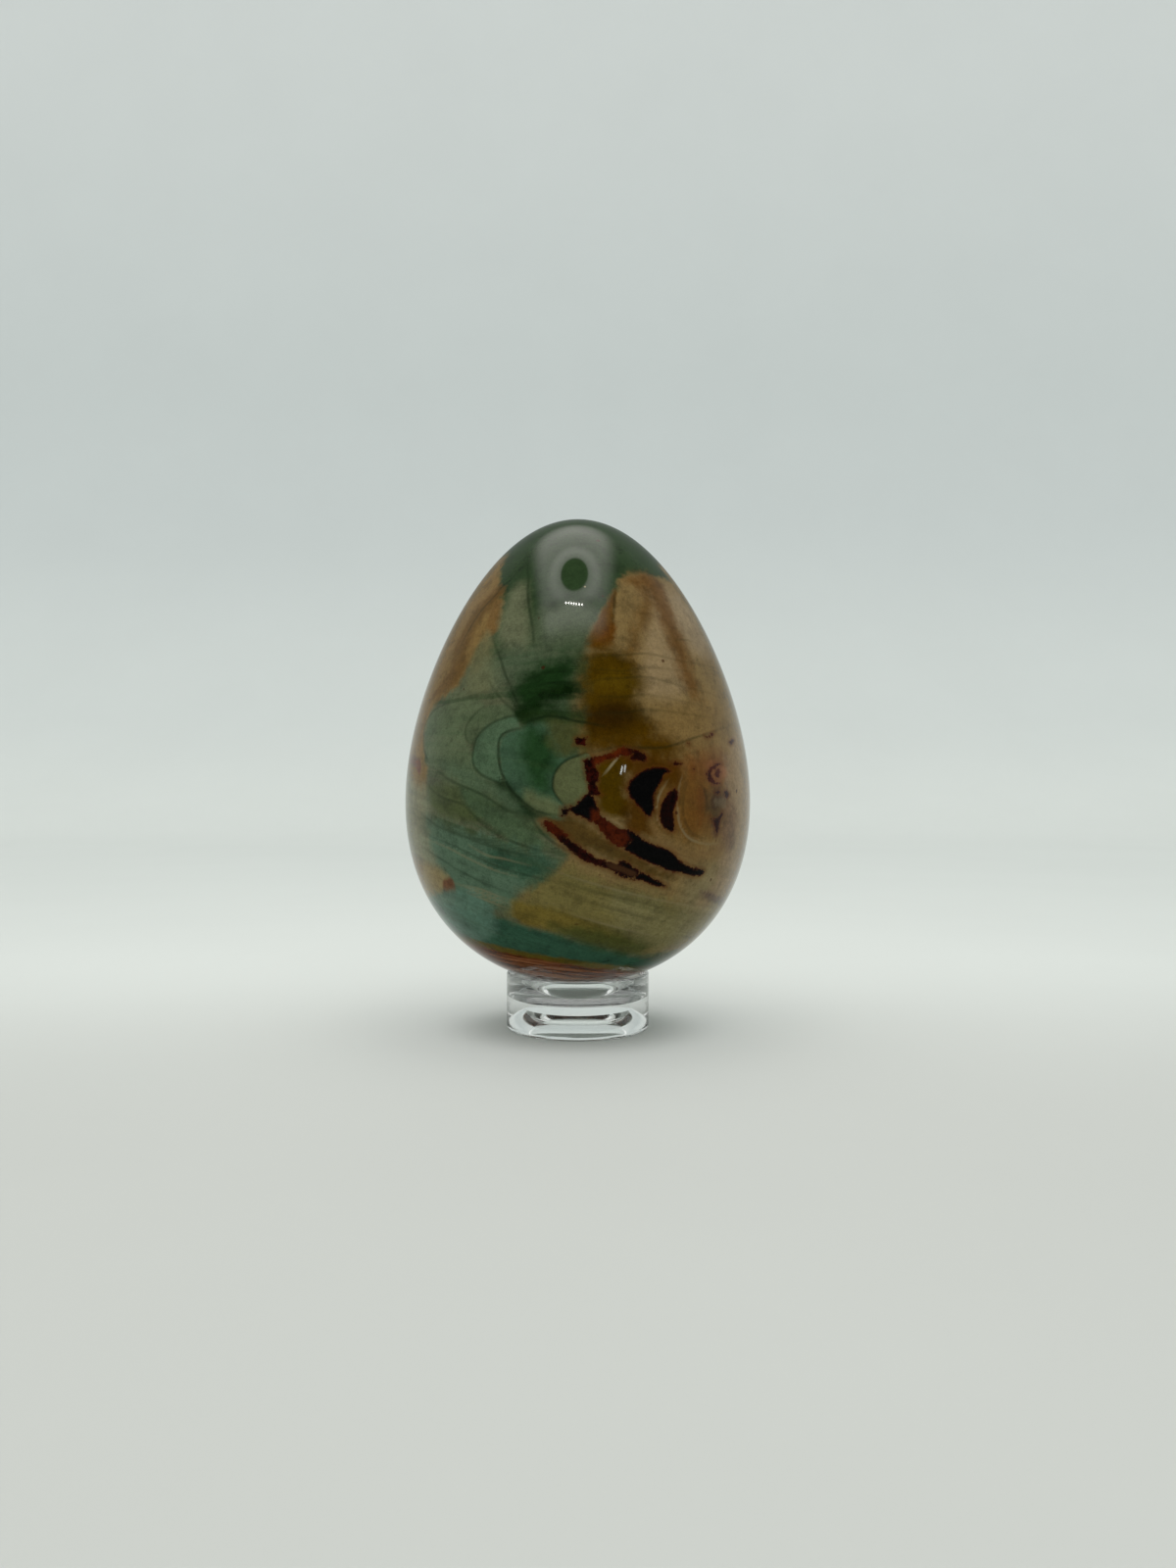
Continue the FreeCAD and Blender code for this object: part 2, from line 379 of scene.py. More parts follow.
zone("third_fill", (67, 88, 68), 0.8, 0.6, 0.85, pic(522, 731, 508, 735, 496, 742, 487, 752, 483, 764,
    482, 776, 486, 786, 498, 794, 511, 799, 512, 788, 509, 774, 510, 758, 516, 748, 532, 742))
zone("green_between", (70, 86, 66), 2.4, 1.4, 0.85, pic(450, 780, 480, 784, 500, 798, 520, 812, 534, 826,
    520, 826, 500, 812, 476, 802))
zone("limb_left_pale", (106, 108, 88), 3, 1.4, 0.8, pic(424, 800, 434, 802, 440, 830, 446, 862, 450, 886,
    438, 884) + [(-88, 34), (-92, 48)])
zone("left_olive", (66, 74, 46), 2, 1.4, 0.85, pic(437, 800, 452, 800, 468, 804, 471, 814, 482, 824,
    492, 834, 476, 838, 458, 834, 444, 828, 440, 816))
zone("green_tongue", (62, 80, 58), 1.6, 1.2, 0.8, pic(471, 803, 486, 808, 502, 818, 518, 830, 534, 838,
    546, 852, 556, 866, 540, 870, 520, 858, 500, 842, 484, 830, 474, 818))
zone("teal_grey", (72, 94, 78), 3, 2.2, 0.9, pic(437, 836, 452, 840, 480, 848, 515, 862, 545, 868, 566, 880,
    548, 896, 528, 912, 520, 924, 490, 922, 466, 912, 452, 890, 440, 868))
zone("teal_mid", (38, 66, 50), 3, 2, 0.85, pic(500, 866, 530, 868, 556, 878, 562, 888, 548, 898, 520, 890,
    498, 880))
zone("left_mark", (122, 108, 74), 2, 1.2, 0.85, pic(432, 884, 448, 886, 458, 898, 456, 918, 444, 920,
    434, 904))
zone("left_rust", (92, 52, 30), 0.8, 0.6, 0.85, pic(453, 898, 461, 897, 465, 908, 464, 922, 456, 918,
    452, 908))
zone("limb_rust", (88, 50, 42), 0.8, 0.5, 0.8, pic(419, 772, 426, 773, 430, 780, 428, 789, 423, 782,
    418, 777))

# The back
zone("back_pale", (90, 98, 76), 2.6, 2.4, 0.75, [(160, 56), (172, 60), (188, 59), (200, 63), (214, 66),
    (226, 62), (214, 59), (196, 55), (178, 53), (166, 52)])
zone("back_teal", (50, 76, 56), 3.2, 2.4, 0.8, [(176, 34), (190, 36), (206, 46), (224, 50), (232, 42),
    (222, 30), (204, 22), (186, 22), (172, 26)])
zone("back_olive", (72, 60, 24), 3.6, 2.6, 0.85, [(140, 34), (152, 46), (166, 53), (182, 51), (196, 48),
    (190, 43), (174, 40), (160, 31), (148, 28)])
zone("back_lens", (92, 96, 66), 0.4, 0.5, 0.9, [(199, 56), (204, 60), (211, 62.5), (219, 61), (223, 56),
    (220, 50), (213, 47.5), (205, 49)])
zone("back_amber", (92, 56, 14), 2.6, 1.6, 0.75, [(232, 40), (238, 46), (244, 44), (246, 36), (240, 30),
    (234, 33)])
zone("side_grey", (118, 106, 84), 5, 3, 0.6, [(92, 36), (104, 46), (116, 50), (126, 46), (120, 34),
    (106, 26), (94, 28)])
zone("side_brown", (78, 54, 18), 4, 2.6, 0.75, [(74, 70), (86, 74), (100, 70), (112, 62), (104, 60),
    (90, 64), (78, 62)])
zone("side_olive", (66, 60, 30), 3.4, 2.4, 0.7, [(86, 22), (104, 24), (122, 30), (112, 22), (100, 17),
    (88, 17)])

# Around the foot
zone("yellow_accent", (97, 83, 35), 1.8, 1.2, 0.9, pic(523, 922, 534, 920, 556, 926, 580, 932, 604, 942,
    632, 954, 648, 964, 620, 962, 594, 955, 564, 949, 538, 945, 527, 938))
zone("teal_band", (43, 73, 58), 1.1, 0.9, 1, stone.below(pic(470, 927, 556, 951, 640, 974)))
zone("low_green", (52, 60, 28), 3, 1.2, 0.8, pic(560, 944, 590, 946, 620, 950, 650, 958, 664, 966, 645, 974,
    612, 968, 580, 958))
zone("teal_pale", (76, 102, 90), 2, 1.2, 0.9, pic(440, 914, 458, 908, 480, 908, 500, 924, 506, 950, 490, 960,
    470, 952) + [(-88, 17), (-100, 21)])
zone("foot_olive", (80, 68, 20), 0.7, 0.5, 1, stone.below(pic(478, 957, 556, 975, 640, 986)))
zone("foot_red", (86, 40, 8), 0.7, 0.5, 1, stone.below(pic(478, 962, 556, 980, 640, 991)))

vein = np.full(len(stone.points), -REACH)
vein_black = np.zeros(len(stone.points))
vein_bright = np.zeros(len(stone.points))


def patch(black, bright, shape):
    """One patch of the veins: how black, how bright, and its outline."""
    inside = stone.inside(shape, rounded=False)
    share = np.clip(inside / VEIN_BLEND + VEIN_EDGE, 0, 1)
    np.maximum(vein, inside, out=vein)
    vein_black[:] += share * (black - vein_black)
    vein_bright[:] += share * (bright - vein_bright)


patch(0.35, 0, pic(595, 776, 603, 773, 608, 772, 610, 777, 607.5, 781.5, 611, 789, 610.5, 796, 608, 801,
    611, 807, 615, 811.5, 609, 811.5, 603, 812, 607.5, 820, 601, 826, 592, 823, 588, 822, 594, 815,
    601, 808.5, 600.5, 801, 597.5, 790))
patch(0, 0.9, pic(606, 773, 614, 771, 623, 769, 632, 763, 640, 762.5, 645, 764, 644, 770, 640, 772,
    637, 771.5, 631, 771.5, 622, 775, 612, 778, 607.5, 781.5))
patch(0.7, 0.1, pic(641, 762.5, 649, 765, 656, 768, 660, 771.5, 659, 775, 661.5, 776.5, 655, 778, 651, 775,
    646, 776.5, 642, 774, 646, 770))
patch(1, 0, pic(580, 824.5, 588, 821.5, 594, 815, 601, 810, 606, 814, 609, 822, 612, 829, 610, 838,
    603, 838.5, 595, 834, 587.5, 831.5, 580, 827))
patch(0.1, 0.75, pic(604, 826, 612, 830, 622, 839, 631, 845, 640, 847, 646, 850, 645, 858, 640, 865, 630, 864,
    622, 858, 612, 846, 604, 838))
patch(1, 0, pic(640, 846, 646, 848.5, 651.5, 852, 656.5, 857, 669.5, 863, 682, 867, 689, 872.5, 694, 879,
    706, 885.5, 719, 887.5, 719.5, 890, 715, 893.5, 706, 894, 695, 890.5, 682, 888.5, 669.5, 883,
    656.5, 877.5, 644, 870.5, 636, 867, 640, 862, 645, 858))
patch(1, 0, pic(661.6, 784.2, 669.3, 783, 677, 783, 684.6, 786.7, 677, 790.6, 675.7, 795.7, 668, 808.4,
    666.7, 815, 667.4, 825, 664.2, 833, 659.7, 832.7, 655.3, 826.3, 649, 820, 642.5, 812, 640.6, 804.6,
    642.5, 798, 649, 791.8, 655.3, 786.7))
patch(0.75, 0, pic(689, 804.5, 691, 808, 692, 812, 688.5, 822.5, 687, 830, 688.5, 838, 688.5, 848, 683, 849,
    678, 845.5, 673.7, 838, 673, 829, 675.7, 818.6, 681, 811, 686, 806))
patch(0.35, 0, pic(587, 751.5, 593, 752, 599, 753, 596, 757, 599.5, 760, 592, 760.5, 586.5, 759.5))
patch(0, 1, pic(551.5, 838, 561, 838, 569, 843, 575, 849, 581, 852.5, 574, 856, 566, 853, 558, 847))
patch(0.5, 0.05, pic(566, 852, 575, 853, 583, 857, 590, 863, 599, 869.5, 609, 876, 618, 878.5, 630, 882,
    634, 877, 640, 880, 648, 886, 652, 892, 645, 896, 628, 889, 612, 884, 596, 878.5, 584, 870,
    573, 861))
patch(1, 0, pic(633, 880, 641, 882, 649, 886.5, 654, 890.5, 660, 892, 667, 896.5, 674, 899.5, 681, 905,
    672, 905, 661, 901, 654, 898, 646, 897.5, 638, 896.5, 630, 893, 625, 889.5, 632, 890.5, 640, 894,
    648, 895, 651, 892, 647, 888, 640, 885))
patch(0.9, 0, pic(573, 825, 577, 823.5, 580, 826, 579, 831, 575, 833.5, 572.5, 832))
patch(0.3, 0.5, pic(721.5, 787, 723, 793, 728, 798.5, 732, 799, 731, 800.5, 726, 799.5, 721.5, 794.5,
    720.5, 789))
patch(0.1, 0.35, pic(737, 779.5, 731, 779.5, 725.5, 782, 722, 787, 722, 793, 725, 798, 730, 800.5, 736, 799.5,
    731, 798, 727, 794.5, 725.5, 790, 727, 785.5, 731, 782.5))
patch(0, 0.6, pic(730.5, 786, 734, 785, 736, 788, 733.5, 789.5, 735, 793, 731.5, 793, 729.5, 790))
patch(0.5, 0.1, pic(724, 833, 728, 836, 733, 834, 737, 829, 738, 831, 734.5, 837, 733.5, 845, 731.5, 852,
    730, 846, 729, 839, 724, 836))
patch(0.5, 0.1, pic(739, 808, 742, 806, 744, 811, 742, 815, 740, 812))
patch(0.5, 0.1, pic(729, 808, 733, 806.5, 735, 809, 732, 811))
patch(0.5, 0.1, pic(684, 778.5, 690, 777, 697, 779, 692, 781.5, 687, 781))
patch(0.2, 0.4, pic(719, 751.5, 724, 750, 728, 747, 729, 748.5, 725, 752, 720, 753))
patch(0.2, 0.3, pic(743, 758, 748, 754, 750, 755, 746, 760))
patch(0.3, 0.1, pic(701.5, 758, 704, 758.5, 703.5, 760.5, 701.5, 760))
patch(0.3, 0.1, pic(707, 783, 709, 783.5, 708.5, 785.5, 706.5, 785))
patch(0.8, 0.1, [(102, 36), (106, 39), (110, 40.6), (114, 43.5), (119, 43), (123, 45), (120, 41.6), (115, 41),
    (112, 38), (107, 36.5), (104, 34)])
patch(0.1, 0.8, [(119, 43), (123, 45), (128, 45.6), (133, 44), (136, 45), (133, 42.4), (127, 43.4),
    (123, 42)])
patch(0.9, 0, [(98, 30), (103, 31.6), (109, 31), (115, 33.4), (121, 33), (115, 30.8), (109, 28.8),
    (103, 29.4)])
patch(0.1, 0.8, [(-126, 40), (-121, 42.5), (-116, 42), (-111, 44), (-106, 43), (-111, 41.4), (-117, 39.6),
    (-122, 40)])
patch(0.5, 0.1, [(146, 37), (151, 41), (156, 43.5), (160, 47), (165, 46), (169, 49), (174, 48.5), (178, 46),
    (183, 47), (187, 45.5), (183, 44.6), (178, 44), (173, 45.5), (169, 43.5), (164, 44), (160, 41),
    (154, 39.5)])
patch(0.1, 0.7, [(183, 47), (189, 47), (195, 45), (200, 44), (205, 40), (208, 36), (212, 33), (214, 29),
    (210, 31), (206, 34.5), (202, 38), (197, 41), (191, 43.6), (186, 45)])
patch(1, 0, [(157, 33), (162, 36), (168, 36.6), (174, 39), (180, 38.6), (186, 40), (180, 36.4), (174, 36),
    (168, 33.6), (162, 33.6)])
patch(0.9, 0, [(202, 51.5), (204, 55), (208, 57.6), (212, 58.2), (216, 59.4), (220, 57.6), (222, 54),
    (219, 53.4), (216, 55), (212, 54.4), (208, 54), (205, 52.6)])
patch(0.1, 0.7, [(196, 51.5), (201, 51), (206, 52), (210, 50.6), (206, 49.4), (200, 49.8)])
loop_fill = stone.inside(pic(618, 880, 630, 882, 640, 886, 648, 889, 650, 893, 644, 894.5, 634, 890,
    622, 886))

# Thin lines: how dark (pale below zero), the share of the length over which an end fades, the points
LINES = [
    (0.75, 0.1, pic(535, 728, 522, 730.6, 511, 733.8, 499.5, 739.5, 490.6, 747.2, 485.5, 754.8, 483, 764,
        482.3, 774, 484.2, 783, 491.8, 790.6, 502, 795.7, 511, 798.8, 515.4, 797)),
    (0.6, 0.25, pic(499.5, 719, 489.3, 724.2, 481.6, 732, 476.5, 739.5, 474.6, 747, 476.5, 755,
        481.6, 760)),
    (1, 0.12, pic(534, 742, 526.3, 744, 518.6, 746, 512.2, 749.7, 509, 756, 508.4, 765, 509, 776.5,
        511.6, 788, 516, 797, 522.4, 807, 531.4, 816, 539, 822.4, 546.7, 827.6, 559.4, 830.7, 571, 832)),
    (1, 0.25, pic(534, 738.3, 544, 734.4, 559.4, 730.6, 574.7, 732.5, 587.5, 735.7, 600, 737.6, 616, 741)),
    (0.55, 0.25, pic(495.7, 705.7, 483, 711.5, 461, 716.6, 447, 721.7, 438.3, 730.6, 433.4, 741, 432, 753.6,
        433, 766.3, 437, 776.5, 442, 784)),
    (0.35, 0.5, pic(546, 700, 520, 702, 495.7, 705.7)),
    (0.7, 0.25, pic(442, 782, 456, 794, 471.4, 802, 481.6, 806, 497, 813.5, 509.7, 822.4, 522.4, 828.8,
        534, 828)),
    (0.55, 0.25, pic(435, 798, 442, 807, 453.6, 814.8, 471.4, 820.5, 481.6, 830, 494.4, 840.3, 509.7, 849.2,
        518.6, 855)),
    (0.5, 0.25, pic(425.5, 825.6, 434.4, 834, 444.6, 841.6, 461, 849.2, 479, 855, 499.5, 857.5,
        518.6, 858.2)),
    *[(weight, 0.5, pic(598 + shift / 4, 673 + shift, 612, 669 + shift, 634, 670 + shift - tip / 4,
        662, 667 + shift, 698, 672 + shift + tip / 2, 738, 680 + shift + tip))
        for shift, tip, weight in ((0, 6, 0.55), (14, -3, 0.4), (24, 9, 0.5), (42, 4, 0.35), (57, -2, 0.45))],
    *[(1, 0.4, pic(545 - shift / 3, 690 + shift, 560, 686 + shift, 578, 685 + shift, 591, 688 + shift))
        for shift in (0, 11, 24)],
    (0.75, 0.3, pic(471, 810, 479, 826, 491, 840, 505, 850, 518, 857, 551, 868, 581, 871)),
    (0.7, 0.3, pic(540, 830, 547, 842, 557, 854, 570, 863, 583, 870)),
    (0.55, 0.3, pic(448, 843, 470, 852, 491, 860, 515, 868, 540, 873, 575, 878)),
    (0.6, 0.3, pic(426, 848, 450, 858, 475, 869, 500, 881, 525, 890, 568, 900, 610, 912)),
    (0.45, 0.3, pic(428, 862, 446, 874, 468, 888, 494, 901, 520, 911)),
    (-0.3, 0.3, pic(430, 853, 455, 864, 480, 877, 505, 888, 530, 895)),
    (-0.35, 0.3, pic(462, 900, 482, 908, 504, 917, 522, 923)),
    (0.6, 0.4, pic(496, 688, 503, 702, 514, 716, 528, 728, 534, 733)),
    (0.7, 0.4, pic(528, 724, 544, 713, 562, 704, 584, 698)),
    (0.6, 0.4, pic(526, 702, 542, 692, 562, 684, 588, 680)),
    (0.6, 0.4, pic(703, 792, 699, 806, 697, 824, 699, 838, 706, 850, 718, 856)),
    (-0.4, 0.3, pic(697, 790, 692.5, 806, 691.5, 826, 694, 842, 703, 855, 718, 861, 732, 861)),
    (0.5, 0.4, pic(712, 798, 719, 806, 721, 822, 718, 838)),
    (0.3, 0.25, pic(469.5, 802, 472, 811, 476, 822)),
    (1, 0.1, pic(600, 768.2, 588.8, 771.4, 578.6, 775.3, 571, 781.6, 565.8, 789.3, 564, 798.2, 564.5, 806,
        569.6, 815, 577.3, 822.4)),
    (0.7, 0.3, pic(600, 768.4, 615.7, 765, 631, 762, 645, 762.5, 659, 763, 677, 762.5, 692, 758.7, 708, 753,
        719, 749.7, 733, 744.6, 749.6, 738.3)),
    (0.8, 0.3, pic(538.4, 571, 539, 590, 538.4, 603, 540.3, 622, 543.5, 641, 544.8, 660)),
    (0.7, 0.3, pic(537.8, 573.6, 527.6, 583.8, 520, 592.7, 512, 599, 505.9, 606.7, 491.8, 622, 481.6, 637.3,
        471.4, 656.5, 467.6, 666.7)),
    (0.75, 0.25, pic(502, 647.6, 507, 663, 511, 673, 514.8, 685.8, 520, 698.6, 524, 708, 529, 719,
        534, 730)),
    (0.4, 0.25, pic(446, 719, 471.4, 712.6, 494.4, 706.2, 514.8, 702.4)),
    (0.8, 0.4, pic(628.5, 601.6, 627, 609, 626.6, 622, 624.6, 638.6)),
    (0.5, 0.4, pic(687, 652.7, 698.6, 652.7, 708.8, 655.2)),
    (0.7, 0.4, pic(695.5, 812, 693, 818.6, 689, 823)),
    (0.7, 0.5, pic(684.6, 849, 686.5, 857)),
    (0.45, 0.3, pic(676, 797, 669, 808, 668, 826, 671, 841, 680, 851, 692, 857)),
    (0.35, 0.3, pic(702, 775, 700, 790, 697, 806, 696, 824, 698, 842)),
    (-0.5, 0.3, pic(681, 797, 673, 811, 669.5, 826, 672, 840, 678, 848)),
    (-0.35, 0.3, pic(612, 832.5, 624, 837, 639, 846)),
    (-0.8, 0.3, pic(634, 767, 627, 777, 616.5, 790)),
    (-0.4, 0.4, pic(466, 902, 489, 907, 506, 913.6, 522, 918.7)),
    (-0.4, 0.4, pic(476.5, 911, 499.5, 920, 520, 927.6)),
    (-0.35, 0.4, pic(479, 862.6, 497, 872.8, 515, 876.6, 540, 883)),
    (0.8, 0.3, pic(613, 982.5, 618, 981, 623, 980)),
    (0.4, 0.4, pic(560, 893, 600, 908, 650, 920, 700, 934)),
    (0.35, 0.4, pic(580, 914, 640, 932, 690, 944)),
    (-0.3, 0.4, pic(560, 886, 590, 897, 640, 911, 690, 922, 722, 926)),
    (-0.3, 0.4, pic(575, 930, 620, 944, 670, 956)),
    (0.6, 0.4, [(62, 61), (78, 63), (94, 61.5), (108, 62), (120, 59)]),
    (0.45, 0.4, [(60, 55), (76, 57), (92, 55), (110, 56), (130, 52)]),
    (0.6, 0.4, [(62, 26), (80, 22.5), (98, 21), (116, 21.5), (128, 24)]),
    (0.5, 0.4, [(60, 21), (78, 17.5), (98, 15.5), (116, 15)]),
    (0.8, 0.3, [(70, 53), (80, 52), (88, 47), (90, 40), (86, 33), (78, 28), (68, 27)]),
    (0.8, 0.3, [(72, 56), (85, 55), (95, 49), (98, 40), (93, 31), (84, 26)]),
    (-0.6, 0.3, [(74, 50), (82, 47), (85, 41), (82, 35), (75, 31)]),
    (0.7, 0.3, [(-150, 70), (-132, 60), (-120, 52), (-108, 49), (-94, 47)]),
    (0.6, 0.3, [(-160, 30), (-140, 27), (-120, 22), (-102, 21), (-86, 23)]),
    (-0.5, 0.3, [(-150, 24), (-130, 20), (-112, 17), (-92, 17)]),
    (0.6, 0.2, [(228, 60), (214, 66), (200, 64), (192, 56), (196, 46), (208, 40), (222, 36)]),
    (0.6, 0.2, [(232, 54), (222, 60), (210, 60), (203, 54), (206, 47), (216, 43), (228, 42)]),
    (0.5, 0.3, [(150, 66), (166, 70), (184, 70), (204, 72), (226, 70)]),
    (0.5, 0.3, [(110, 58), (130, 62), (150, 58), (168, 60), (184, 58)]),
    (0.5, 0.3, [(120, 30), (140, 34), (160, 32), (182, 28), (204, 26), (228, 30)]),
    (0.4, 0.3, [(100, 38), (112, 46), (126, 46), (134, 38), (128, 30), (112, 30)]),
]
for weight, taper, points in LINES:
    stone.line(weight, taper, points)

# The strata lie level above the middle and dip to the camera's right below it
x_mm, _, z_mm = stone.points.T
LEVEL_TILT = -0.10
LOW_TILT = 0.34
TILT_TURNS_AT = (38.0, 62.0)
turned_share = np.clip((z_mm - TILT_TURNS_AT[0]) / (TILT_TURNS_AT[1] - TILT_TURNS_AT[0]), 0, 1)
turned_share = turned_share ** 2 * (3 - 2 * turned_share)
strata = z_mm + x_mm * (LOW_TILT + (LEVEL_TILT - LOW_TILT) * turned_share)


def placed(name, data):
    made = bpy.data.objects.new(name, data)
    bpy.context.scene.collection.objects.link(made)
    return made


egg_mesh = bpy.data.meshes.new("polished_egg")
egg_mesh.from_pydata((stone.points * MM).tolist(), [], stone.faces())
egg_mesh.validate()
egg_mesh.shade_smooth()
egg_mesh.update()
egg = placed("polished_egg", egg_mesh)


def keep(name, values):
    made = egg_mesh.attributes.new(name, "FLOAT", "POINT")
    made.data.foreach_set("value", np.asarray(values, np.float32))


for name, _, _, _, _, distance, _ in ZONES:
    keep(name, distance)
drawn = dict(vein=vein, vein_black=vein_black, vein_bright=vein_bright, loop_fill=loop_fill,
             line_gap=stone.line_gap, line_side=stone.line_side, line_dark=stone.line_dark, strata=strata)
for name, values in drawn.items():
    keep(name, values)


class Shader:
    """A material or a world under construction."""

    def __init__(self, name, world=False):
        self.material = (bpy.data.worlds if world else bpy.data.materials).new(name)
        self.material.use_nodes = True
        self.tree = self.material.node_tree
        self.tree.nodes.clear()
        self.out = self.node("OutputWorld" if world else "OutputMaterial")

    def node(self, kind, **settings):
        made = self.tree.nodes.new("ShaderNode" + kind)
        for name, value in settings.items():
            setattr(made, name, value)
        return made

    def plug(self, socket, value):
        if isinstance(value, bpy.types.NodeSocket):
            self.tree.links.new(value, socket)
        else:
            socket.default_value = value

    def fed(self, made, *values):
        """The outputs of a node whose first sockets are set in order."""
        for socket, value in zip(made.inputs, values):
            self.plug(socket, value)
        return made.outputs

    def math(self, operation, a, b=0.0, c=0.0):
        return self.fed(self.node("Math", operation=operation), a, b, c)[0]

    def times(self, a, b, plus=0.0):
        return self.math("MULTIPLY_ADD", a, b, plus)

    def most(self, a, b):
        return self.math("MAXIMUM", a, b)

    def vector(self, operation, a, b=(0.0, 0.0, 0.0)):
        given = self.fed(self.node("VectorMath", operation=operation), a, b)
        return given["Value" if operation in ("DISTANCE", "LENGTH") else "Vector"]

    def place(self):
        return self.node("TexCoord").outputs["Object"]

    def attribute(self, name):
        return self.node("Attribute", attribute_name=name).outputs["Fac"]

    def ramp(self, value, low, high, to_low=0.0, to_high=1.0):
        made = self.node("MapRange", interpolation_type="SMOOTHSTEP")
        return self.fed(made, value, low, high, to_low, to_high)[0]

    def mix(self, share, a, b, blend="MIX"):
        made = self.node("Mix", data_type="RGBA", blend_type=blend)
        self.plug(made.inputs[0], share)
        self.plug(made.inputs[6], a)
        self.plug(made.inputs[7], b)
        return made.outputs[2]

    def filled(self, kind, **values):
        """The outputs of a node whose sockets are set by name."""
        made = self.node(kind)
        for name, value in values.items():
            self.plug(made.inputs[name.replace("_", " ")], value)
        return made.outputs

    def noise(self, vector, scale, detail, rough):
        """Noise about zero."""
        given = self.filled("TexNoise", Vector=vector, Scale=scale, Detail=detail, Roughness=rough)
        return self.math("SUBTRACT", given["Fac"], 0.5)

    def split(self, kind, value):
        return self.fed(self.node("Separate" + kind), value)

    def cells(self, vector, scale):
        """Distance to the nearest of many scattered points, and that point's random colour."""
        given = self.filled("TexVoronoi", Vector=vector, Scale=scale)
        return given["Distance"], self.split("Color", given["Color"])

    def scaled(self, colour, level, shares=(1.0, 1.0, 1.0)):
        tint = self.fed(self.node("CombineColor"), *(self.times(level, share) for share in shares))
        return self.mix(1.0, colour, tint[0], "MULTIPLY")

    def stretched(self, parts, share, last):
        """Coordinates that change slowly across the first two axes."""
        first, second = (self.times(part, share) for part in parts[:2])
        return self.fed(self.node("CombineXYZ"), first, second, last)[0]

    def blend(self, share, a, b):
        return self.fed(self.node("MixShader"), share, a, b)[0]

    def finish(self, shader, mesh=None):
        self.plug(self.out.inputs["Surface"], shader)
        if mesh:
            mesh.materials.append(self.material)

    def lamp_light(self, colour, strength):
        return self.filled("Emission", Color=colour, Strength=strength)[0]

    def by_stone(self):
        """One for a ray that the stone mirrors. A ray bent by the acrylic counts as glossy too."""
        path = self.node("LightPath").outputs
        glossy = self.math("SUBTRACT", path["Is Glossy Ray"], path["Is Transmission Ray"])
        return self.most(glossy, 0.0)


STONE_IOR = 1.54
ACRYLIC_IOR = 1.49

# Heights over which the crown's green comes in, and over which the bands fade
CROWN_Z = (62.0, 73.0)
BANDED_Z = (34.0, 50.0)

# Noises in the stone: how fine, per millimetre, then detail and roughness
WANDER = (0.55, 3.0, 0.6)
CRUMBLE = (1.6, 3.0, 0.65)
BEDS = (0.55, 4.0, 0.65)
HAIRS = (2.2, 3.0, 0.6)
GRAIN = (4.5, 3.0, 0.7)
BLOTCH = (0.20, 5.0, 0.62)
SHADE = (0.34, 5.0, 0.7)
STRIPES = (1.5, 4.0, 0.7)

# The stone's smaller colours
GROUND_GREY = tone(80, 84, 64)
GROUND_GREEN = tone(60, 72, 50)
CROWN_GREEN = tone(38, 54, 33)
BED_DARK = tone(44, 48, 26)
STRIPE_DARK = tone(44, 14, 2)
STRIPE_PALE = tone(128, 82, 54)
LINE_DARK = tone(14, 26, 10)
LINE_PALE = tone(122, 112, 84)
VEIN_HALO = tone(76, 42, 14)
VEIN_DEEP = tone(20, 2, 1)
VEIN_RED = tone(54, 13, 5)
VEIN_BRIGHT = tone(82, 30, 7)
SOOT_BLACK = tone(3, 3, 3)
SOOT_GREY = tone(14, 13, 13)
LOOP_BROWN = tone(54, 33, 18)
SPECK_BROWN = tone(50, 20, 8)
SPECK_PALE = tone(150, 140, 110)


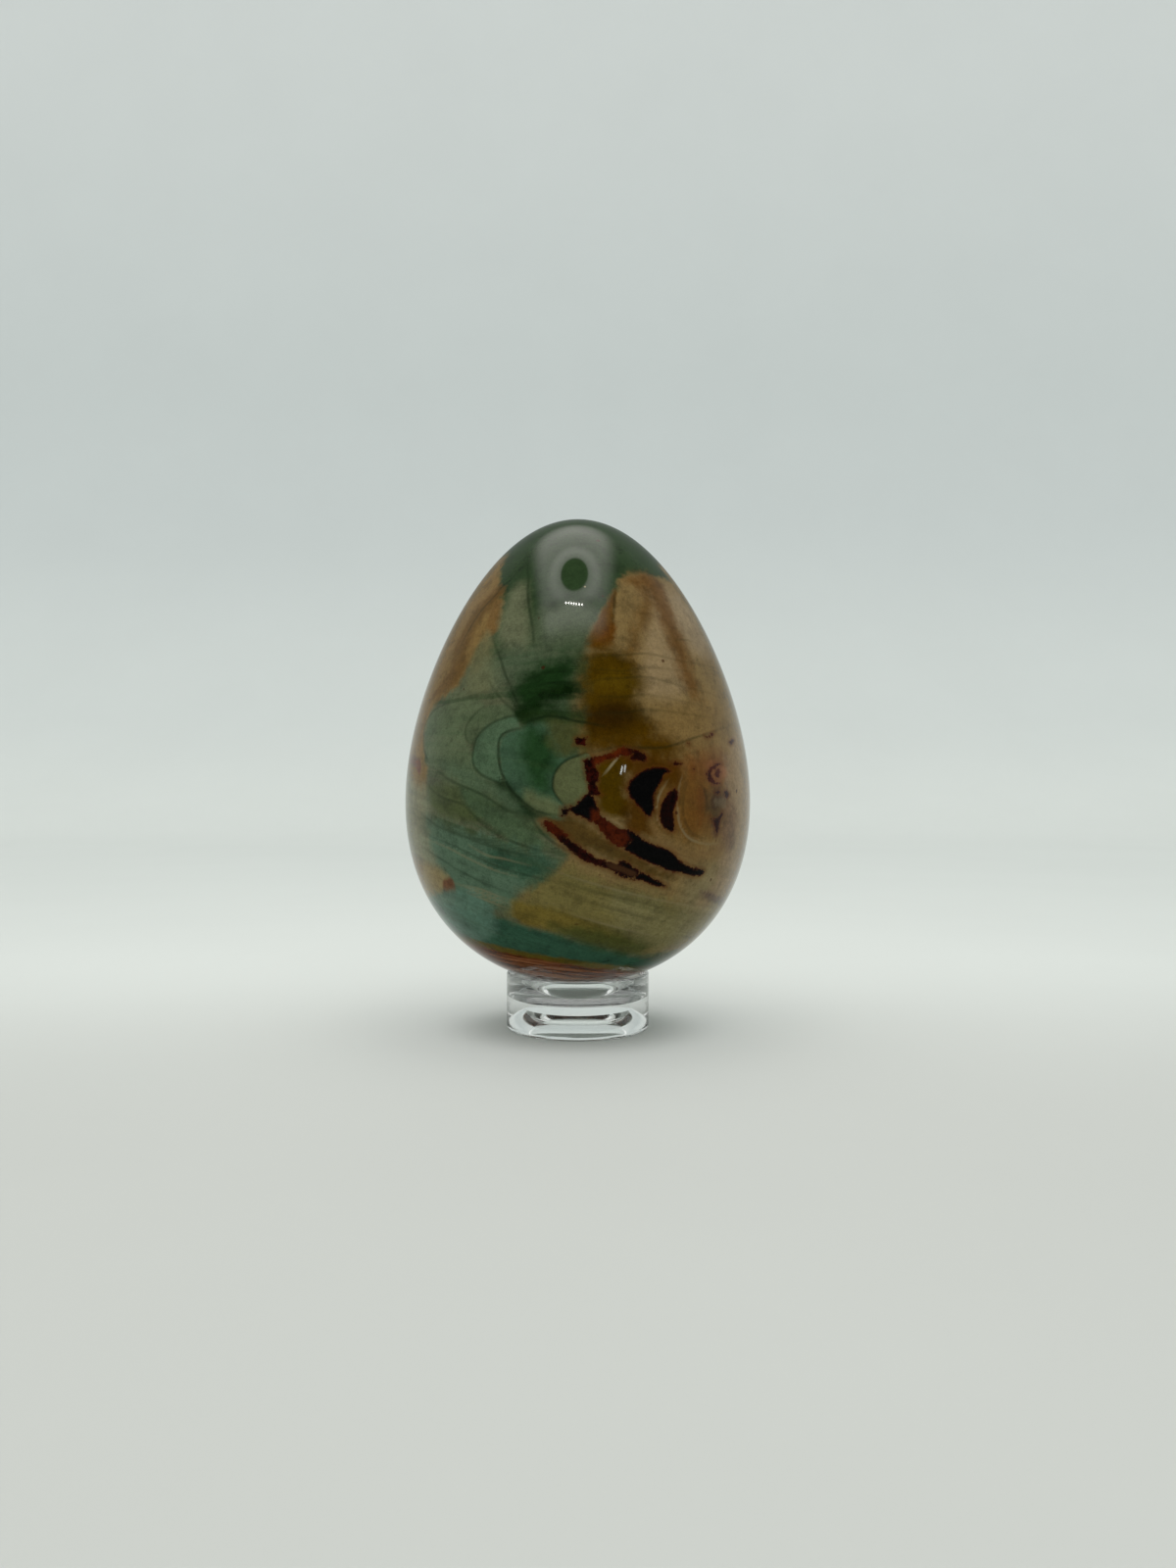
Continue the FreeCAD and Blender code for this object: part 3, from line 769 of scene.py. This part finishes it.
def paint_stone():
    s = Shader("banded_stone")
    place = s.vector("MULTIPLY", s.place(), (1 / MM, 1 / MM, 1 / MM))
    wander = s.noise(place, *WANDER)
    crumble = s.noise(place, *CRUMBLE)
    # strata coordinates: long along the beds and short across them
    parts = s.split("XYZ", place)
    across = s.times(wander, 0.9, s.attribute("strata"))
    bed = s.stretched(parts, 0.045, across)
    beds = s.noise(bed, *BEDS)
    hairs = s.noise(bed, *HAIRS)
    # the ground colour round the whole stone
    colour = s.mix(s.ramp(beds, -0.10, 0.10), GROUND_GREY, GROUND_GREEN)
    colour = s.mix(s.ramp(s.attribute("strata"), *CROWN_Z), colour, CROWN_GREEN)
    for name, paint, soft, wobble, strength, _, streak in ZONES:
        edge = s.times(wander if soft > 0.5 else crumble, wobble * 2.0, s.attribute(name))
        if streak:
            edge = s.times(beds, streak * 2, edge)
        colour = s.mix(s.ramp(edge, -soft / 2, soft / 2, 0.0, strength), colour, paint)
    # bands and mottling
    banding = s.ramp(s.attribute("strata"), *BANDED_Z, 1.0, 0.25)
    colour = s.mix(s.times(s.ramp(beds, 0.0, 0.16, 0.0, 0.28), banding), colour, BED_DARK)
    light = s.times(s.times(hairs, banding), 0.7, 1.0)
    light = s.times(crumble, 0.8, light)
    grain = s.noise(place, *GRAIN)
    light = s.times(grain, 0.9, light)
    colour = s.scaled(colour, light)
    blotch = s.ramp(s.noise(place, *BLOTCH), -0.10, 0.16, 1.04, 0.92)
    shadow = s.ramp(s.noise(place, *SHADE), -0.04, 0.20, 1.04, 0.72)
    colour = s.scaled(colour, s.times(blotch, shadow), (1.0, 1.0, 0.94))
    # the foot's stripes
    stripes = s.noise(s.stretched(parts, 0.03, s.times(parts[0], 0.12, parts[2])), *STRIPES)
    at_foot = s.ramp(s.attribute("foot_red"), -0.2, 0.6)
    colour = s.mix(s.times(s.ramp(stripes, -0.10, 0.02, 0.8, 0.0), at_foot), colour, STRIPE_DARK)
    colour = s.mix(s.times(s.ramp(stripes, 0.0, 0.09, 0.0, 0.85), at_foot), colour, STRIPE_PALE)
    # thin lines
    gap = s.math("SUBTRACT", s.attribute("line_gap"), 0.35)
    off = s.most(s.math("ABSOLUTE", s.attribute("line_side")), gap)
    off = s.times(crumble, 0.10, off)
    weight = s.attribute("line_dark")
    dark = s.times(s.ramp(off, 0.02, 0.42, 1.0, 0.0), s.most(weight, 0.0))
    pale = s.times(s.ramp(off, 0.05, 0.35, 1.0, 0.0), s.most(s.times(weight, -1.0), 0.0))
    colour = s.mix(s.times(dark, s.times(crumble, 1.2, 0.62)), colour, LINE_DARK)
    colour = s.mix(pale, colour, LINE_PALE)
    # veins
    ragged = s.times(crumble, 1.2, s.attribute("vein"))
    ragged = s.times(grain, 0.8, ragged)
    colour = s.mix(s.ramp(ragged, -0.75, -0.05, 0.0, 0.5), colour, VEIN_HALO)
    red = s.mix(s.ramp(crumble, -0.12, 0.18), VEIN_DEEP, VEIN_RED)
    rusty = s.ramp(s.times(wander, 1.4, crumble), -0.20, 0.22, 0.35, 1.0)
    red = s.mix(s.times(s.attribute("vein_bright"), rusty), red, VEIN_BRIGHT)
    core = s.times(s.ramp(ragged, 0.0, 0.35), s.attribute("vein_black"))
    core = s.times(s.ramp(crumble, 0.02, 0.14), s.times(s.attribute("vein_bright"), 0.5), core)
    soot = s.mix(s.ramp(grain, -0.02, 0.16), SOOT_BLACK, SOOT_GREY)
    body = s.mix(s.math("MINIMUM", core, 1.0), red, soot)
    colour = s.mix(s.ramp(ragged, -0.12, 0.12), colour, body)
    colour = s.mix(s.ramp(s.attribute("loop_fill"), -0.2, 0.3), colour, LOOP_BROWN)
    # specks
    distance, chance = s.cells(place, 0.22)
    small = s.times(crumble, 0.10, distance)
    freckled = s.times(s.ramp(s.attribute("right_mid"), -4.0, 2.0), -0.35, 0.64)
    chosen = s.ramp(s.math("SUBTRACT", chance[0], freckled), 0.0, 0.03)
    speck = s.times(s.ramp(small, 0.05, 0.09, 1.0, 0.0), chosen)
    colour = s.mix(s.times(speck, 0.8), colour, SPECK_BROWN)
    distance, chance = s.cells(place, 0.16)
    white = s.times(s.ramp(distance, 0.026, 0.045, 1.0, 0.0), s.ramp(chance[1], 0.70, 0.72))
    colour = s.mix(s.times(white, 0.8), colour, SPECK_PALE)
    shine = s.filled("BsdfPrincipled", Base_Color=colour, Roughness=0.04, IOR=STONE_IOR,
                     Specular_IOR_Level=0.25)
    s.finish(shine[0], egg_mesh)


paint_stone()
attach(egg, "egg")
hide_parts("stone_egg")


def paint_ring():
    """Clear acrylic. It lets lamps through, so that the floor in and under the ring is lit."""
    s = Shader("clear_acrylic")
    glass = s.filled("BsdfPrincipled", Base_Color=(0.985, 0.995, 0.99, 1), Roughness=0.0, IOR=ACRYLIC_IOR,
                     Transmission_Weight=1.0)
    clear = s.filled("BsdfTransparent", Color=(0.78, 0.81, 0.79, 1))
    path = s.node("LightPath").outputs
    soft = s.most(path["Is Shadow Ray"], path["Is Diffuse Ray"])
    ring.data.materials.clear()
    s.finish(s.blend(soft, glass[0], clear[0]), ring.data)


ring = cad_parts["acrylic_ring_stand"]
paint_ring()

# The tent: floor and cove, and a lit ceiling with a round hole for the lens
FLOOR_HALF = 2.0
COVE_START = 0.62
COVE_R = 0.5
COVE_STEPS = 24
WALL_TOP = 2.4
CEILING_Z = 0.30
# How a direction's y fades from the tent's open side, behind the camera, to the lit one
OPEN_SIDE = (-0.45, 0.9)
GLOW_SHARE = 0.35
# Floor and wall colours: the differences between them are painted light and shade of the tent on the backdrop
FLOOR_NEAR = (0.612, 0.632, 0.605, 1)
FLOOR_FAR = (0.770, 0.805, 0.775, 1)
WALL_FOOT = (0.700, 0.740, 0.722, 1)
WALL_MIDDLE = (0.622, 0.665, 0.660, 1)
WALL_HIGH = (0.672, 0.706, 0.698, 1)
MIRRORED_DARK = (0.06, 0.065, 0.06, 1)
CEILING_X = (-0.135, 0.118)
CEILING_Y = (-0.20, 0.22)
CEILING_SQUEEZE = 0.70
SQUEEZED_MIDDLE = (-0.012, -0.035)
HOLE_AT = (-0.009, -0.062)
HOLE_R = 0.037
HALO_R = 0.058
HALO_WIDTH = 0.026
SEAM_Y = -0.118
CEILING_LEVEL = 2.35
HALO_LEVEL = 1.4
CEILING_LIGHT = (1.0, 0.965, 0.93, 1)


def sheet_of(name, points, faces):
    mesh = bpy.data.meshes.new(name)
    mesh.from_pydata(points, [], faces)
    mesh.update()
    made = placed(name, mesh)
    return made


def cove():
    line = [(-FLOOR_HALF, 0.0), (COVE_START, 0.0)]
    for step in range(1, COVE_STEPS + 1):
        turn = math.radians(90 * step / COVE_STEPS)
        line.append((COVE_START + COVE_R * math.sin(turn), COVE_R * (1 - math.cos(turn))))
    line.append((COVE_START + COVE_R, WALL_TOP))
    points = [(side, y, z) for y, z in line for side in (-FLOOR_HALF, FLOOR_HALF)]
    faces = [(2 * i, 2 * i + 1, 2 * i + 3, 2 * i + 2) for i in range(len(line) - 1)]
    made = sheet_of("floor_and_cove", points, faces)
    made.data.shade_smooth()
    s = Shader("pale_backdrop")
    flat = s.place()
    parts = s.split("XYZ", flat)
    # painted light and shade: the floor darker in front of the object than behind it, and the cove darker
    # partway up than at its foot and its top
    pale = s.mix(s.ramp(parts[1], -0.08, 0.08), FLOOR_NEAR, FLOOR_FAR)
    pale = s.mix(s.ramp(parts[2], 0.0, 0.12), pale, WALL_FOOT)
    pale = s.mix(s.ramp(parts[2], 0.10, 0.36), pale, WALL_MIDDLE)
    pale = s.mix(s.ramp(parts[2], 0.45, 0.95), pale, WALL_HIGH)
    uneven = s.times(s.noise(flat, 9.0, 4.0, 0.6), 0.05, 1.0)
    pale = s.scaled(pale, uneven)
    # what the stone mirrors gets darker towards the camera's side and high up
    facing = s.split("XYZ", s.vector("NORMALIZE", flat))
    dim = s.most(s.ramp(facing[1], *OPEN_SIDE, 1.0, 0.16), s.ramp(facing[2], 0.10, 0.40, 0.0, 0.66))
    seen = s.mix(s.times(s.by_stone(), dim), pale, MIRRORED_DARK)
    matt = s.filled("BsdfPrincipled", Base_Color=seen, Roughness=0.55, Specular_IOR_Level=0.1)
    # part of the paleness doesn't depend on the light, except close to the object, in its shadow
    path = s.node("LightPath").outputs
    direct = s.most(path["Is Camera Ray"], s.most(path["Is Glossy Ray"], path["Is Transmission Ray"]))
    own_shadow = s.ramp(s.vector("LENGTH", flat), 0.012, 0.026)
    face = s.blend(s.times(s.times(direct, GLOW_SHARE), own_shadow), matt[0], s.lamp_light(seen, 1.0))
    face = s.blend(s.node("NewGeometry").outputs["Backfacing"], face, s.filled("BsdfTransparent")[0])
    s.finish(face, made.data)


cove()


def ceiling():
    (x0, x1), (y0, y1) = CEILING_X, CEILING_Y
    points = [(x0, y0, CEILING_Z), (x0, y1, CEILING_Z), (x1, y1, CEILING_Z), (x1, y0, CEILING_Z)]
    made = sheet_of("tent_ceiling", points, [(0, 1, 2, 3)])
    s = Shader("lit_ceiling")
    flat = s.place()
    gap = s.vector("DISTANCE", flat, (*HOLE_AT, CEILING_Z))
    rim = s.ramp(gap, HOLE_R - 0.003, HOLE_R + 0.004)
    halo = s.ramp(s.math("ABSOLUTE", s.math("SUBTRACT", gap, HALO_R)), 0.0, HALO_WIDTH, 1.0, 0.0)
    parts = s.split("XYZ", flat)
    left = s.ramp(parts[0], CEILING_X[0], CEILING_X[0] + 0.05)
    right = s.ramp(parts[0], CEILING_X[1] - 0.06, CEILING_X[1], 1.0, 0.0)
    squeezed = s.vector("MULTIPLY", flat, (1.0, CEILING_SQUEEZE, 1.0))
    oval = s.vector("DISTANCE", squeezed, (*SQUEEZED_MIDDLE, CEILING_Z))
    back = s.ramp(oval, 0.09, 0.17, 1.0, 0.0)
    near = s.ramp(parts[1], CEILING_Y[0], -0.145)
    lit = s.times(s.times(s.times(left, right), back), near)
    seam = s.ramp(s.math("ABSOLUTE", s.math("SUBTRACT", parts[1], SEAM_Y)), 0.0, 0.02, 0.72, 1.0)
    level = s.times(s.times(halo, HALO_LEVEL, CEILING_LEVEL), s.times(rim, seam))
    glow = s.lamp_light(CEILING_LIGHT, level)
    s.finish(s.blend(lit, s.filled("BsdfTransparent")[0], glow), made.data)
    made.visible_camera = False


ceiling()


def lamp(name, corners, strength, colour):
    """A small lit plate that shows only as a glint on the stone."""
    made = sheet_of(name, corners, [tuple(range(len(corners)))])
    s = Shader(name + "_light")
    s.finish(s.lamp_light(colour, strength), made.data)
    made.visible_camera = False
    made.visible_diffuse = False
    made.visible_transmission = False


def mirrored_from(column, row, distance):
    """The point, in metres, that the egg mirrors at a pixel of the photograph."""
    (azimuth, height), = pic(column, row)
    place = on_egg(azimuth, height)
    step = 0.05
    slope = (egg_radius(share_at(height + step)) - egg_radius(share_at(height - step))) / (2 * step)
    turn = math.radians(azimuth)
    normal = np.array([math.sin(turn), -math.cos(turn), -slope])
    normal /= np.linalg.norm(normal)
    ray = place - np.array([0, CAMERA_Y, CAMERA_Z])
    ray /= np.linalg.norm(ray)
    ray -= 2 * (ray @ normal) * normal
    return (place + distance * ray) * MM


# A row of lamps below the lens and the two glints on the vein, in the photograph's pixels
LED_ROW = 615
LED_ROW_STEP = 0.3
LED_COLUMNS = (577.5, 580.5, 583, 585.5, 588, 591, 594)
LED_DISTANCE = 240
LED_HALF = 0.0016
LED_STRENGTH = 90.0
LED_LIGHT = (1, 0.97, 0.92, 1)
for i, column in enumerate(LED_COLUMNS):
    x, y, z = mirrored_from(column, LED_ROW + LED_ROW_STEP * i, LED_DISTANCE)
    corners = [(x + a * LED_HALF, y + b * LED_HALF, z) for a, b in ((-1, -1), (-1, 1), (1, 1), (1, -1))]
    lamp(f"led_{i}", corners, LED_STRENGTH, LED_LIGHT)
GLINTS = [((634.4, 781.5), (635.8, 781.8), (634.2, 790), (632.6, 790)),
          ((637.4, 780.5), (638.8, 780.8), (638.0, 788), (636.8, 788))]
GLINT_DISTANCE = 600
GLINT_STRENGTH = 20.0
GLINT_LIGHT = (0.9, 1.0, 1.0, 1)
for i, pixels in enumerate(GLINTS):
    corners = [tuple(mirrored_from(*pixel, GLINT_DISTANCE)) for pixel in pixels]
    lamp(f"glint_{i}", corners, GLINT_STRENGTH, GLINT_LIGHT)

camera_data = bpy.data.cameras.new("photo_camera")
camera = placed("photo_camera", camera_data)
camera.location = (0, CAMERA_Y * MM, CAMERA_Z * MM)
camera.rotation_euler = (math.pi / 2, 0, 0)
camera_data.sensor_width = SENSOR_MM
camera_data.lens = FOCAL_PX / PHOTO_HEIGHT * SENSOR_MM
camera_data.shift_x = (PHOTO_WIDTH / 2 - AXIS_PX) / PHOTO_HEIGHT
camera_data.clip_start = MM
bpy.context.scene.camera = camera
bpy.context.scene.view_settings.view_transform = "Standard"
bpy.context.scene.cycles.max_bounces = 24
bpy.context.scene.cycles.glossy_bounces = 16
bpy.context.scene.cycles.transmission_bounces = 24

# The tent's walls: pale all round, and dark in reflections where the tent is open behind the camera
WALL_LIGHT = (0.97, 1.0, 0.97, 1)
WALL_LEVEL = 0.95
MIRRORED_LIGHT = (0.95, 1.0, 0.96, 1)
s = Shader("tent", world=True)
bpy.context.scene.world = s.material
direction = s.split("XYZ", s.node("TexCoord").outputs["Generated"])
mirrored = s.times(s.ramp(direction[1], *OPEN_SIDE, 0.04, 0.72), s.ramp(direction[2], 0.10, 0.45, 1.0, 0.42))
walls = s.filled("Background", Color=WALL_LIGHT, Strength=WALL_LEVEL)
reflected = s.filled("Background", Color=MIRRORED_LIGHT, Strength=mirrored)
s.finish(s.blend(s.by_stone(), walls[0], reflected[0]))
